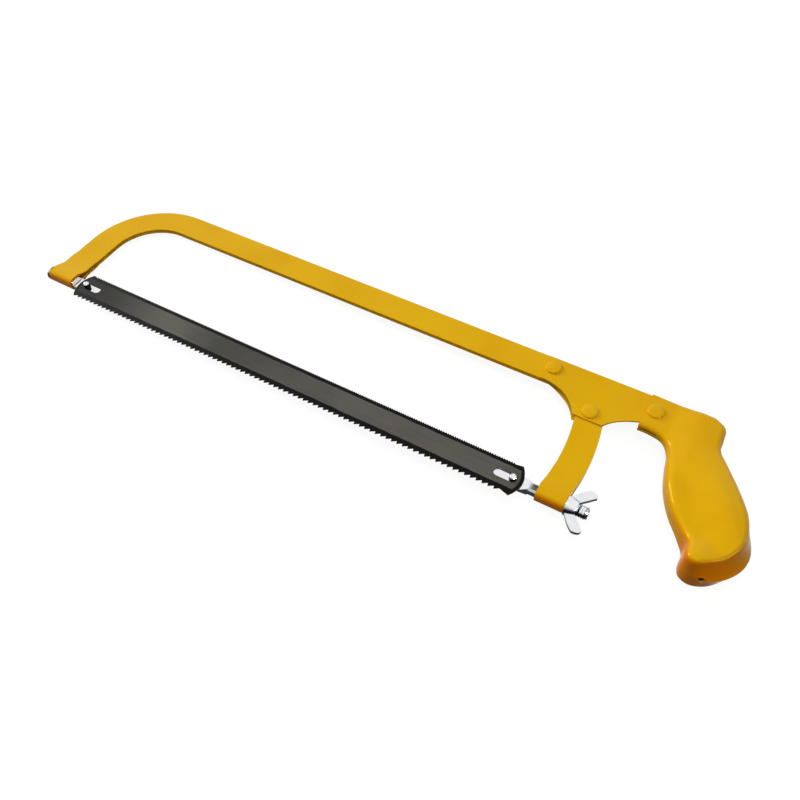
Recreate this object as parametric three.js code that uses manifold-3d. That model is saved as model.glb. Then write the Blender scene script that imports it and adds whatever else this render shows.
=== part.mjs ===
// A hacksaw frame of pressed steel, lying on its side, with a double-edged blade under tension.
// X runs along the blade to the handle, Y from the blade to the backbone, Z up out of the saw's plane.
// Pieces are drawn with the front blade pin at the origin and the saw's middle plane at Z 0.

import * as THREE from 'three';
import { mergeVertices } from 'three/addons/utils/BufferGeometryUtils.js';
import Module from 'manifold-3d';

// Blade, in millimetres like every size below
const HOLE_SPACING = 300;
const BLADE_WIDTH = 19.5;
const BLADE_THICKNESS = 0.65;
const BLADE_PAST_PIN = 5.6;
const BLADE_END_RADIUS = 15;
const BLADE_DROP = 0.5;
const SLOT_LENGTH = 13;
const SLOT_WIDTH = 5;
const COARSE_PITCH = 3.4;
const COARSE_DEPTH = 1.6;
const FINE_PITCH = 1.4;
const FINE_DEPTH = 0.7;
const PLAIN_END = 3;

// Clearances: between pressed faces, round riveted shanks, and under the loose blade
const FIT = 0.15;
const SEAM = 0.2;
const SEAT = 0.1;

// Bow and rear arm: sheet folded double, spread into a square socket at the fold
const SHEET = 1.4;
const SOCKET_FIT = 0.2;
const SOCKET_CORNER = 2;
const SOCKET_RAMP = 6.5;
const NECK_GAP = 1.2;
const NECK_LENGTH = 8.5;
const NECK_RAMP = 3;
const BACK_TOP = 86.8;
const BACK_WIDTH = 17.8;
const LEG_FRONT = 29.8;
const LEG_WIDTH = 19.2;
const OUTER_RADIUS = 50;
const INNER_RADIUS = 30;
const BOW_PAST_REAR_PIN = 4;
const ARM_CENTRE = 21.9;
const ARM_WIDTH = 15.9;
const ARM_BULGE = 3.7;
const ARM_LEAN = 2.2;
const ARM_IN_GUSSET = 14;

// Gusset plates, one on each side of the bow and arm
const GUSSET_SHEET = 1;
const GUSSET_DROP = 0.8;
const GUSSET_HEIGHT = 32.8;
const GUSSET_FRONT = 16.8;
const GUSSET_NOSE = 17.4;
const GUSSET_SLANT = 1.5;
const FAR_ARCH_LIFT = 3.8;
const FOOT_START = 10.6;
const FOOT_END = 27.6;
const TANG_END = 60;
const TANG_DROP = 1.2;
const TANG_DEPTH = 19.4;

// Grip of two pressed shells
const SHELL = 1;
const SHELL_SEAM = 0.3;
const GRIP_FRONT = 44.5;
const GRIP_RISE = 1;
const GRIP_REACH = 70.6;
const GRIP_DROP = 94.9;
const SLEEVE_HEIGHT = 24.6;
const HEEL_HALF = 6.5;
const GRIP_HALF = 12.2;
const FINGER_HALF = 6.5;
const GRIP_EDGE = 4;
const GRIP_CROWN = 0.8;
const FINGER_GAP = 1.6;
const FINGER_GAP_LENGTH = 11;
const BUTT_HOLE = 2.2;
const OUTLINE_POINTS = 64;

// Rivets
const RIVET_SHANK = 5;
const RIVET_HEAD = 9.4;
const RIVET_HEAD_HEIGHT = 1.3;
const BOW_RIVET_IN = 5.5;
const ARM_RIVET_ALONG = 18.3;
const ARM_RIVET_IN = 5.6;
const HANDLE_RIVET_IN = 5.5;

// Blade holders: square bar drawn down to a flat tongue with a cross pin
const SQUARE = 5.6;
const SQUARE_CHAMFER = 1;
const TONGUE = 2.8;
const TONGUE_WIDTH = 8;
const TONGUE_PAST_PIN = 8.5;
const PIN = 4;
const PIN_STANDS = 3.2;
const REAR_TAPER = 3.4;
const FRONT_TAPER = 1.5;
const ANCHOR_HEAD = 9.4;
const ANCHOR_HEAD_THICK = 2.2;
const THREAD = 6;
const THREAD_PAST_NUT = 4.5;

// Wing nut
const HUB_BASE = 11;
const HUB_TOP = 8.6;
const HUB_HEIGHT = 6;
const WING_SPAN = 26.4;
const WING_RISE = 12.4;
const WING_THICK = 2.2;
const WING_TIP = 5.4;

// Places worked out from the sizes above
const SOCKET = SQUARE + 2 * SOCKET_FIT;
const SOCKET_FOOT = -SOCKET / 2 - SHEET;
const STRIP_HALF = SEAM / 2 + SHEET;
const GUSSET_INNER = STRIP_HALF + FIT;
const GUSSET_OUTER = GUSSET_INNER + GUSSET_SHEET;
const GUSSET_TOP = BACK_TOP - GUSSET_DROP;
const GUSSET_FOOT = GUSSET_TOP - GUSSET_HEIGHT;
const SLEEVE_HALF = GUSSET_OUTER + FIT + SHELL;
const GRIP_TOP = BACK_TOP + GRIP_RISE;
const BOW_RIVET = new THREE.Vector2(HOLE_SPACING - GUSSET_FRONT + BOW_RIVET_IN, BACK_TOP - BACK_WIDTH * 0.47);
const ARM_RIVET = new THREE.Vector2(HOLE_SPACING + ARM_RIVET_ALONG, GUSSET_FOOT + ARM_RIVET_IN);
const HANDLE_RIVET = new THREE.Vector2(
  HOLE_SPACING + GRIP_FRONT + HANDLE_RIVET_IN,
  GUSSET_TOP - TANG_DROP - TANG_DEPTH / 2,
);
const ARM_REAR = ARM_CENTRE + ARM_WIDTH / 2;
const NUT_SEAT = HOLE_SPACING + ARM_REAR + FIT;
const BLADE_UNDERSIDE = TONGUE / 2 + SEAT;
const REAR_NECK = BLADE_PAST_PIN + 2 * FIT;
const FRONT_NECK = LEG_FRONT - LEG_WIDTH - FRONT_TAPER - 2 * FIT;

const PAINT = { color: 0xd8aa16, roughness: 0.32, metalness: 0.1 };
const CHROME = { color: 0xc9ccd0, roughness: 0.15, metalness: 1 };
const BLADE_STEEL = { color: 0x4a4a46, roughness: 0.45, metalness: 0.8 };

const wasm = await Module();
wasm.setup();

// Turn a closed geometry into a solid that can be cut and joined
function solid(geometry) {
  const bare = geometry.clone();
  bare.deleteAttribute('normal');
  bare.deleteAttribute('uv');
  const merged = mergeVertices(bare, 1e-5);
  const vertProperties = new Float32Array(merged.attributes.position.array);
  const triVerts = new Uint32Array(merged.index.array);
  return new wasm.Manifold(new wasm.Mesh({ numProp: 3, vertProperties, triVerts }));
}

// Turn a solid back into a geometry
function surface(body) {
  const mesh = body.getMesh();
  const geometry = new THREE.BufferGeometry();
  geometry.setAttribute('position', new THREE.BufferAttribute(mesh.vertProperties, 3));
  geometry.setIndex(new THREE.BufferAttribute(mesh.triVerts, 1));
  geometry.computeVertexNormals();
  return geometry;
}

// A flat plate of the given outline between two heights
function plate(shape, bottom, top, curveSegments = 12) {
  const geometry = new THREE.ExtrudeGeometry(shape, { depth: top - bottom, bevelEnabled: false, curveSegments });
  return geometry.translate(0, 0, bottom);
}

// A box between two corners
function block(low, high) {
  const size = new THREE.Vector3().subVectors(high, low);
  const centre = new THREE.Vector3().addVectors(low, high).multiplyScalar(0.5);
  return new THREE.BoxGeometry(size.x, size.y, size.z).translate(centre.x, centre.y, centre.z);
}

// An upright round bar through a point of the saw's plane
function bar(centre, diameter, bottom, top, sides = 24) {
  const geometry = new THREE.CylinderGeometry(diameter / 2, diameter / 2, top - bottom, sides);
  return geometry.rotateX(Math.PI / 2).translate(centre.x, centre.y, (bottom + top) / 2);
}

// Revolve a profile of [radius, distance] points about the X axis
function turned(profile, sides = 32) {
  const points = profile.map(([radius, distance]) => new THREE.Vector2(radius, distance));
  return new THREE.LatheGeometry(points, sides).rotateZ(-Math.PI / 2);
}

// Join rings of points, all with the same count, into a closed body with capped ends
function loft(rings, firstCap, lastCap) {
  const count = rings[0].length;
  const positions = rings.flat().flatMap((point) => point.toArray());
  const index = [];
  for (let row = 0; row + 1 < rings.length; row += 1) {
    for (let i = 0; i < count; i += 1) {
      const next = (i + 1) % count;
      const [a, b] = [row * count + i, row * count + next];
      index.push(a, b, b + count, a, b + count, a + count);
    }
  }
  const last = (rings.length - 1) * count;
  firstCap.forEach(([a, b, c]) => index.push(a, c, b));
  lastCap.forEach(([a, b, c]) => index.push(last + a, last + b, last + c));
  const geometry = new THREE.BufferGeometry();
  geometry.setAttribute('position', new THREE.Float32BufferAttribute(positions, 3));
  geometry.setIndex(index);
  return geometry;
}

// Reflect a body in the saw's middle plane, keeping its faces outward
function mirrored(geometry) {
  const copy = geometry.clone().scale(1, 1, -1);
  const order = copy.index.array;
  for (let i = 0; i < order.length; i += 3) {
    [order[i + 1], order[i + 2]] = [order[i + 2], order[i + 1]];
  }
  return copy;
}

function piece(name, geometry, material) {
  const mesh = new THREE.Mesh(geometry, new THREE.MeshStandardMaterial(material));
  mesh.name = name;
  return mesh;
}

// Middle line of the folded sheet, as [distance from the fold, height] points:
// one layer down to the fold, round the square socket, and back up as the other layer
function foldLine(length) {
  const layer = SEAM / 2 + SHEET / 2;
  const neck = NECK_GAP / 2 + SHEET / 2;
  const spread = SOCKET / 2 + SHEET / 2;
  const radius = SOCKET_CORNER + SHEET / 2;
  const socketEnd = SHEET + SOCKET;
  const neckStart = socketEnd + SOCKET_RAMP;
  const neckEnd = neckStart + NECK_LENGTH;
  const half = [
    new THREE.Vector2(length, layer),
    new THREE.Vector2(neckEnd + NECK_RAMP, layer),
    new THREE.Vector2(neckEnd, neck),
    new THREE.Vector2(neckStart, neck),
    new THREE.Vector2(socketEnd, spread),
  ];
  const corner = new THREE.Vector2(SHEET / 2 + radius, spread - radius);
  for (let step = 0; step <= 5; step += 1) {
    const angle = Math.PI / 2 + (step / 5) * (Math.PI / 2);
    half.push(new THREE.Vector2(Math.cos(angle), Math.sin(angle)).multiplyScalar(radius).add(corner));
  }
  const other = half.map((point) => new THREE.Vector2(point.x, -point.y)).reverse();
  return half.concat(other);
}

// Offset an open line to its left by a distance, with mitred corners
function offsetLine(line, distance) {
  return line.map((point, i) => {
    const before = line[Math.max(i - 1, 0)];
    const after = line[Math.min(i + 1, line.length - 1)];
    const into = new THREE.Vector2().subVectors(point, before).normalize();
    const out = new THREE.Vector2().subVectors(after, point).normalize();
    if (i === 0) into.copy(out);
    if (i === line.length - 1) out.copy(into);
    const along = new THREE.Vector2().addVectors(into, out).normalize();
    const mitre = distance / along.dot(into);
    return new THREE.Vector2(point.x - along.y * mitre, point.y + along.x * mitre);
  });
}

// Sheet folded double: the fold line swept across a strip whose two edges follow the track
function foldedStrip(track, length, stations) {
  const line = [];
  foldLine(length).forEach((point, i, all) => {
    line.push(point);
    const next = all[i + 1];
    if (!next || Math.abs(next.y - point.y) > 1e-9) return;
    const [low, high] = [Math.min(point.x, next.x), Math.max(point.x, next.x)];
    const between = stations.filter((place) => place > low + 1e-6 && place < high - 1e-6);
    between.sort((a, b) => (next.x - point.x) * (a - b));
    between.forEach((place) => line.push(new THREE.Vector2(place, point.y)));
  });
  const inside = offsetLine(line, SHEET / 2);
  const outside = offsetLine(line, -SHEET / 2);
  const corner = (point, side) => {
    const place = track(point.x)[side];
    return new THREE.Vector3(place.x, place.y, point.y);
  };
  const rings = line.map((_, i) => [
    corner(inside[i], 0), corner(outside[i], 0), corner(outside[i], 1), corner(inside[i], 1),
  ]);
  const cap = [[0, 1, 2], [0, 2, 3]];
  return loft(rings, cap, cap);
}

// Bow: leg, round front corner and straight backbone, measured up from the fold
function bow() {
  const legInner = LEG_WIDTH - LEG_FRONT;
  const outerCentre = new THREE.Vector2(OUTER_RADIUS - LEG_FRONT, BACK_TOP - OUTER_RADIUS);
  const innerCentre = new THREE.Vector2(legInner + INNER_RADIUS, BACK_TOP - BACK_WIDTH - INNER_RADIUS);
  const legLength = Math.min(outerCentre.y, innerCentre.y) - SOCKET_FOOT;
  const bend = (OUTER_RADIUS + INNER_RADIUS) / 2;
  const bendLength = (bend * Math.PI) / 2;
  const backStart = Math.max(outerCentre.x, innerCentre.x);
  const length = legLength + bendLength + HOLE_SPACING + BOW_PAST_REAR_PIN - backStart;
  const track = (place) => {
    if (place <= legLength) {
      const y = SOCKET_FOOT + place;
      return [new THREE.Vector2(legInner, y), new THREE.Vector2(-LEG_FRONT, y)];
    }
    if (place <= legLength + bendLength) {
      const angle = Math.PI - (place - legLength) / bend;
      const ray = new THREE.Vector2(Math.cos(angle), Math.sin(angle));
      return [
        ray.clone().multiplyScalar(INNER_RADIUS).add(innerCentre),
        ray.clone().multiplyScalar(OUTER_RADIUS).add(outerCentre),
      ];
    }
    const x = backStart + place - legLength - bendLength;
    return [new THREE.Vector2(x, BACK_TOP - BACK_WIDTH), new THREE.Vector2(x, BACK_TOP)];
  };
  const stations = Array.from({ length: 19 }, (_, i) => legLength + (bendLength * i) / 18);
  const strip = solid(foldedStrip(track, length, stations));
  const hole = solid(bar(BOW_RIVET, RIVET_SHANK + 2 * FIT, -STRIP_HALF - 1, STRIP_HALF + 1));
  return surface(strip.subtract(hole));
}

// Rear arm: the same folded strip, curving from the stud's socket up between the gusset plates
function rearArm() {
  const start = new THREE.Vector2(HOLE_SPACING + ARM_CENTRE, HUB_BASE / 2 + FIT);
  const end = new THREE.Vector2(start.x - ARM_LEAN, GUSSET_FOOT + 2);
  const control = new THREE.Vector2(start.x + ARM_BULGE, (start.y + end.y) / 2);
  const curve = new THREE.QuadraticBezierCurve(start, control, end);
  const length = GUSSET_FOOT + ARM_IN_GUSSET - SOCKET_FOOT;
  const centreAt = (y) => {
    if (y <= start.y) return start.x;
    const t = (y - start.y) / (end.y - start.y);
    if (t <= 1) return curve.getPoint(t).x;
    const slope = curve.getTangent(1);
    return end.x + ((y - end.y) * slope.x) / slope.y;
  };
  const track = (place) => {
    const y = SOCKET_FOOT + place;
    const x = centreAt(y);
    return [new THREE.Vector2(x + ARM_WIDTH / 2, y), new THREE.Vector2(x - ARM_WIDTH / 2, y)];
  };
  const stations = Array.from({ length: 16 }, (_, i) => (length * i) / 16);
  const strip = solid(foldedStrip(track, length, stations));
  const hole = solid(bar(ARM_RIVET, RIVET_SHANK + 2 * FIT, -STRIP_HALF - 1, STRIP_HALF + 1));
  return surface(strip.subtract(hole));
}

// Gusset plate: hollow front edge, straight foot over the arm, arched edge and a tang inside the grip
function gussetPlate(archLift) {
  const tangTop = GUSSET_TOP - TANG_DROP;
  const tangFoot = tangTop - TANG_DEPTH;
  const shape = new THREE.Shape();
  shape.moveTo(-GUSSET_FRONT, GUSSET_TOP);
  shape.lineTo(-GUSSET_FRONT + GUSSET_SLANT, GUSSET_TOP - GUSSET_NOSE);
  shape.quadraticCurveTo(FOOT_START * 0.3, GUSSET_TOP - GUSSET_NOSE, FOOT_START, GUSSET_FOOT);
  shape.lineTo(FOOT_END, GUSSET_FOOT);
  if (archLift > 0) shape.lineTo(FOOT_END, GUSSET_FOOT + archLift);
  const arch = (tangFoot - GUSSET_FOOT) * 0.62;
  shape.quadraticCurveTo(FOOT_END + arch * 0.6, GUSSET_FOOT + arch + archLift, GRIP_FRONT, tangFoot + archLift);
  shape.lineTo(TANG_END, tangFoot + archLift);
  shape.lineTo(TANG_END, tangTop);
  shape.lineTo(GRIP_FRONT, tangTop);
  shape.lineTo(GRIP_FRONT - 2 * FIT, GUSSET_TOP);
  shape.closePath();
  const sheet = plate(shape, GUSSET_INNER, GUSSET_OUTER, 14).translate(HOLE_SPACING, 0, 0);
  const holes = [BOW_RIVET, ARM_RIVET, HANDLE_RIVET].map((place) =>
    solid(bar(place, RIVET_SHANK + 2 * FIT, GUSSET_INNER - 1, GUSSET_OUTER + 1)));
  return surface(holes.reduce((body, hole) => body.subtract(hole), solid(sheet)));
}

// A place on the grip, as shares of its reach behind the sleeve's front and its drop below the top
function gripPlace(reach, drop) {
  return new THREE.Vector2(HOLE_SPACING + GRIP_FRONT + reach * GRIP_REACH, GRIP_TOP - drop * GRIP_DROP);
}

// Grip outline, from the sleeve's foot round the finger hollow, butt, palm swell and heel
function gripOutline() {
  const shape = new THREE.Shape();
  const [open, foot] = [gripPlace(-0.085, 0).x, GRIP_TOP - SLEEVE_HEIGHT];
  shape.moveTo(open, foot);
  shape.lineTo(gripPlace(0.08, 0).x, foot);
  shape.splineThru([
    gripPlace(0.2, 0.28), gripPlace(0.27, 0.35), gripPlace(0.307, 0.462), gripPlace(0.36, 0.584),
    gripPlace(0.45, 0.707), gripPlace(0.562, 0.809), gripPlace(0.628, 0.873), gripPlace(0.637, 0.939),
    gripPlace(0.667, 0.982), gripPlace(0.75, 1), gripPlace(0.855, 0.97), gripPlace(0.94, 0.906),
    gripPlace(0.993, 0.822), gripPlace(0.995, 0.73), gripPlace(0.937, 0.597), gripPlace(0.82, 0.441),
    gripPlace(0.705, 0.315), gripPlace(0.62, 0.226), gripPlace(0.608, 0.138), gripPlace(0.59, 0.063),
    gripPlace(0.495, 0.018),
  ]);
  shape.lineTo(open, GRIP_TOP);
  shape.closePath();
  return shape.getSpacedPoints(OUTLINE_POINTS).slice(0, OUTLINE_POINTS);
}

// Half thickness of the grip: a thin sleeve over the gusset, a flat heel, a slim finger side and a full palm
function gripHalf(point) {
  const { lerp, smoothstep } = THREE.MathUtils;
  const behind = (point.x - gripPlace(0, 0).x) / GRIP_REACH;
  const below = (GRIP_TOP - point.y) / GRIP_DROP;
  const heel = lerp(SLEEVE_HALF, HEEL_HALF, smoothstep(behind, 0.19, 0.42));
  const fingerLine = 0.25 + 0.73 * (below - 0.35);
  const palm = Math.max(smoothstep(behind - fingerLine, 0, 0.4), smoothstep(below, 0.74, 1));
  return lerp(heel, lerp(FINGER_HALF, GRIP_HALF, palm), smoothstep(below, 0.21, 0.68));
}

// Nearest point on the grip's middle line
function gripMiddle(point) {
  const places = [[-0.085, 0.13], [0.36, 0.14], [0.49, 0.29], [0.645, 0.56], [0.79, 0.85]];
  const line = places.map(([reach, drop]) => new THREE.Vector3(...gripPlace(reach, drop), 0));
  const from = new THREE.Vector3(point.x, point.y, 0);
  const near = line.slice(1).map((end, i) =>
    new THREE.Line3(line[i], end).closestPointToPoint(from, true, new THREE.Vector3()));
  near.sort((a, b) => a.distanceTo(from) - b.distanceTo(from));
  return new THREE.Vector2(near[0].x, near[0].y);
}

// Triangles that close a long thin ring from side to side, starting at its first and last points
function zipped(ring) {
  const triangles = [];
  let [left, right] = [0, ring.length - 1];
  while (left + 1 < right) {
    if (ring[left + 1].distanceTo(ring[right]) < ring[left].distanceTo(ring[right - 1])) {
      triangles.push([left, left + 1, right]);
      left += 1;
    } else {
      triangles.push([left, right - 1, right]);
      right -= 1;
    }
  }
  return triangles;
}

// A pan: upright wall, rounded edge and crowned face, with its outline drawn in by an inset
function pan(inset, base) {
  const outline = gripOutline();
  const count = outline.length;
  const columns = outline.map((point, i) => {
    const ahead = outline[(i + 1) % count];
    const behind = outline[(i + count - 1) % count];
    const along = new THREE.Vector2().subVectors(ahead, behind).normalize();
    const inward = new THREE.Vector2(-along.y, along.x);
    const edge = Math.min(GRIP_EDGE, 0.7 * gripHalf(point));
    const shift = (distance) => point.clone().addScaledVector(inward, distance);
    const lift = (place, drop) => new THREE.Vector3(place.x, place.y, gripHalf(place) - drop);
    const column = [lift(shift(inset), 0).setZ(base)];
    for (let step = 0; step <= 3; step += 1) {
      const angle = (step / 3) * (Math.PI / 2);
      const place = shift(edge - (edge - inset) * Math.cos(angle));
      column.push(lift(place, edge - (edge - inset) * Math.sin(angle)));
    }
    const rim = shift(edge);
    const middle = gripMiddle(rim);
    [0.4, 0.8].forEach((share) => {
      const place = rim.clone().lerp(middle, share);
      const fullness = (gripHalf(place) - SLEEVE_HALF) / (GRIP_HALF - SLEEVE_HALF);
      column.push(lift(place, inset - GRIP_CROWN * fullness * (1 - (1 - share) ** 2)));
    });
    return column;
  });
  const rings = columns[0].map((_, row) => columns.map((column) => column[row]));
  const footprint = rings[0].map((point) => new THREE.Vector2(point.x, point.y));
  return loft(rings, THREE.ShapeUtils.triangulateShape(footprint, []), zipped(rings[rings.length - 1]));
}

// One grip shell, hollow, with an open front, a finger gap below the sleeve and half of the butt hole
function gripShell() {
  const front = HOLE_SPACING + GRIP_FRONT;
  const sleeveFoot = GRIP_TOP - SLEEVE_HEIGHT;
  const outer = solid(pan(0, SHELL_SEAM / 2));
  const inner = solid(pan(SHELL, SHELL_SEAM / 2 - 1));
  const open = block(
    new THREE.Vector3(front - 20, sleeveFoot - 20, -1),
    new THREE.Vector3(front, GRIP_TOP + 20, GRIP_HALF),
  );
  const gap = block(
    new THREE.Vector3(front - 1, sleeveFoot - 4, -1),
    new THREE.Vector3(front + FINGER_GAP_LENGTH, sleeveFoot + SHELL + 1, FINGER_GAP / 2),
  );
  const hole = new THREE.BoxGeometry(BUTT_HOLE, 12, BUTT_HOLE).rotateY(Math.PI / 4);
  const butt = gripPlace(0.8, 0.99);
  hole.translate(butt.x, butt.y, 0);
  const rivet = bar(HANDLE_RIVET, RIVET_SHANK + 2 * FIT, -1, GRIP_HALF);
  return [inner, solid(open), solid(gap), solid(hole), solid(rivet)].reduce((body, cut) => body.subtract(cut), outer);
}

// Solid rivet with a low domed head on each side
function rivet(place, halfGrip) {
  const [shank, head] = [RIVET_SHANK / 2, RIVET_HEAD / 2];
  const seat = halfGrip + FIT;
  const dome = [[head, 0], [head * 0.94, 0.45], [head * 0.72, 0.85], [head * 0.38, 1]];
  const upper = dome.map(([radius, rise]) => [radius, seat + rise * RIVET_HEAD_HEIGHT]);
  const lower = upper.map(([radius, height]) => [radius, -height]).reverse();
  const profile = [[0, -seat - RIVET_HEAD_HEIGHT], ...lower, [shank, -seat], [shank, seat], ...upper];
  profile.push([0, seat + RIVET_HEAD_HEIGHT]);
  const points = profile.map(([radius, height]) => new THREE.Vector2(radius, height));
  return new THREE.LatheGeometry(points, 24).rotateX(Math.PI / 2).translate(place.x, place.y, 0);
}

// Square bar with chamfered corners along X
function squareBar(from, to) {
  const [half, flat] = [SQUARE / 2, SQUARE / 2 - SQUARE_CHAMFER];
  const shape = new THREE.Shape([
    [half, -flat], [half, flat], [flat, half], [-flat, half], [-half, flat], [-half, -flat], [-flat, -half], [flat, -half],
  ].map(([y, z]) => new THREE.Vector2(y, z)));
  const geometry = new THREE.ExtrudeGeometry(shape, { depth: to - from, bevelEnabled: false });
  return geometry.rotateX(Math.PI / 2).rotateZ(Math.PI / 2).translate(from, 0, 0);
}

// Blade holder's flat tongue, running from its round end past the pin at X 0 to the square bar.
// Its plan is a spatula and its side view tapers on both faces.
function tongue(neck, taper) {
  const full = neck + taper;
  const join = full + FIT;
  const [wide, narrow] = [TONGUE_WIDTH / 2, SQUARE / 2];
  const plan = new THREE.Shape();
  plan.moveTo(join, -narrow);
  plan.lineTo(join, narrow);
  plan.lineTo(full, narrow);
  plan.lineTo(neck, wide);
  plan.lineTo(wide - TONGUE_PAST_PIN, wide);
  plan.absarc(wide - TONGUE_PAST_PIN, 0, wide, Math.PI / 2, Math.PI * 1.5, false);
  plan.lineTo(neck, -wide);
  plan.lineTo(full, -narrow);
  plan.closePath();
  const side = new THREE.Shape();
  const [flat, thick] = [TONGUE / 2, SQUARE / 2];
  side.moveTo(-TONGUE_PAST_PIN - 1, -flat);
  side.lineTo(neck, -flat);
  side.lineTo(full, -thick);
  side.lineTo(join, -thick);
  side.lineTo(join, thick);
  side.lineTo(full, thick);
  side.lineTo(neck, flat);
  side.lineTo(-TONGUE_PAST_PIN - 1, flat);
  side.closePath();
  const across = plate(side, -TONGUE_WIDTH, TONGUE_WIDTH).rotateX(Math.PI / 2);
  const hole = bar(new THREE.Vector2(0, 0), PIN + 2 * FIT, -SQUARE, SQUARE);
  const body = solid(plate(plan, -SQUARE, SQUARE)).intersect(solid(across));
  return body.subtract(solid(hole));
}

// Front anchor: its head bears on the front of the bow's socket
function frontAnchor() {
  const neckEnd = FRONT_NECK + FRONT_TAPER;
  const seat = LEG_FRONT + FIT;
  const head = ANCHOR_HEAD / 2;
  const cap = turned([
    [0, seat], [head, seat], [head, seat + ANCHOR_HEAD_THICK * 0.6], [head * 0.7, seat + ANCHOR_HEAD_THICK],
    [0, seat + ANCHOR_HEAD_THICK],
  ]);
  const body = tongue(FRONT_NECK, FRONT_TAPER).add(solid(squareBar(neckEnd, seat + 0.5))).add(solid(cap));
  return surface(body).rotateZ(Math.PI);
}

// Tension stud: square bar through the rear arm, then a round threaded end for the wing nut
function tensionStud() {
  const neckEnd = REAR_NECK + REAR_TAPER;
  const squareEnd = ARM_REAR - 1;
  const threadEnd = ARM_REAR + FIT + HUB_HEIGHT + THREAD_PAST_NUT;
  const radius = THREAD / 2;
  const thread = turned([
    [0, squareEnd - 1], [radius, squareEnd - 1], [radius, threadEnd - 0.8], [radius - 0.8, threadEnd], [0, threadEnd],
  ], 28);
  const body = tongue(REAR_NECK, REAR_TAPER).add(solid(squareBar(neckEnd, squareEnd))).add(solid(thread));
  return surface(body).translate(HOLE_SPACING, 0, 0);
}

// Blade pin, pressed through the tongue and standing up through the blade's slot
function bladePin(x) {
  const radius = PIN / 2;
  const [bottom, top] = [-TONGUE / 2, TONGUE / 2 + PIN_STANDS];
  const profile = [[0, bottom], [radius, bottom], [radius, top - 0.7], [radius - 0.7, top], [0, top]];
  const points = profile.map(([r, z]) => new THREE.Vector2(r, z));
  return new THREE.LatheGeometry(points, 24).rotateX(Math.PI / 2).translate(x, 0, 0);
}

// Wing nut: tapered hub with two swept wings, bored for the thread
function wingNut() {
  const [base, top] = [HUB_BASE / 2, HUB_TOP / 2];
  const hub = turned([[0, 0], [base, 0], [base, 1], [top, HUB_HEIGHT - 0.6], [top - 0.6, HUB_HEIGHT], [0, HUB_HEIGHT]]);
  const reach = WING_SPAN / 2;
  const wing = new THREE.Shape();
  wing.moveTo(0.6, 1);
  wing.lineTo(0.6, base - 0.6);
  wing.quadraticCurveTo(WING_RISE * 0.35, reach * 0.82, WING_RISE - WING_TIP * 0.85, reach);
  wing.quadraticCurveTo(WING_RISE, reach + 0.2, WING_RISE, reach - WING_TIP * 0.5);
  wing.quadraticCurveTo(HUB_HEIGHT + 1.5, top + 1.2, HUB_HEIGHT - 0.4, top - 0.6);
  wing.lineTo(HUB_HEIGHT - 0.4, 1);
  wing.closePath();
  const upper = plate(wing, -WING_THICK / 2, WING_THICK / 2, 8);
  const lower = upper.clone().rotateX(Math.PI);
  const bore = turned([[0, -1], [THREAD / 2 + FIT, -1], [THREAD / 2 + FIT, HUB_HEIGHT + 1], [0, HUB_HEIGHT + 1]]);
  const body = solid(hub).add(solid(upper)).add(solid(lower)).subtract(solid(bore));
  return surface(body).translate(NUT_SEAT, 0, 0);
}

// A row of teeth along X, as [x, y] points from a start to an end, with tips pointing to the front
function teeth(start, end, pitch, root, tip) {
  const count = Math.floor((end - start) / pitch);
  const rake = 0.12 * pitch;
  return Array.from({ length: count }, (_, i) => start + i * pitch).flatMap((x) => [
    [x, root], [x + rake, tip], [x + pitch - rake, root],
  ]);
}

// Blade: coarse teeth below, fine teeth above, round ends and a slot for each pin
function blade() {
  const [front, rear] = [-BLADE_PAST_PIN, HOLE_SPACING + BLADE_PAST_PIN];
  const top = BLADE_WIDTH / 2 - BLADE_DROP;
  const foot = -BLADE_WIDTH / 2 - BLADE_DROP;
  const sag = BLADE_END_RADIUS - Math.sqrt(BLADE_END_RADIUS ** 2 - (BLADE_WIDTH / 2) ** 2);
  const [start, end] = [front + sag + PLAIN_END, rear - sag - PLAIN_END];
  const coarse = teeth(start, end, COARSE_PITCH, foot + COARSE_DEPTH, foot);
  const fine = teeth(start, end, FINE_PITCH, top - FINE_DEPTH, top).reverse();
  const half = Math.asin(BLADE_WIDTH / 2 / BLADE_END_RADIUS);
  const shape = new THREE.Shape();
  shape.moveTo(front + sag, foot);
  coarse.forEach(([x, y]) => shape.lineTo(x, y));
  shape.lineTo(rear - sag, foot);
  shape.absarc(rear - BLADE_END_RADIUS, -BLADE_DROP, BLADE_END_RADIUS, -half, half, false);
  fine.forEach(([x, y]) => shape.lineTo(x, y));
  shape.lineTo(front + sag, top);
  shape.absarc(front + BLADE_END_RADIUS, -BLADE_DROP, BLADE_END_RADIUS, Math.PI - half, Math.PI + half, false);
  const [radius, run] = [SLOT_WIDTH / 2, SLOT_LENGTH - SLOT_WIDTH];
  const inward = radius - PIN / 2 - FIT;
  [inward, HOLE_SPACING - inward - run].forEach((x) => {
    const slot = new THREE.Path();
    slot.absarc(x, 0, radius, Math.PI / 2, Math.PI * 1.5, false);
    slot.absarc(x + run, 0, radius, -Math.PI / 2, Math.PI / 2, false);
    shape.holes.push(slot);
  });
  return plate(shape, BLADE_UNDERSIDE, BLADE_UNDERSIDE + BLADE_THICKNESS, 8);
}

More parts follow.
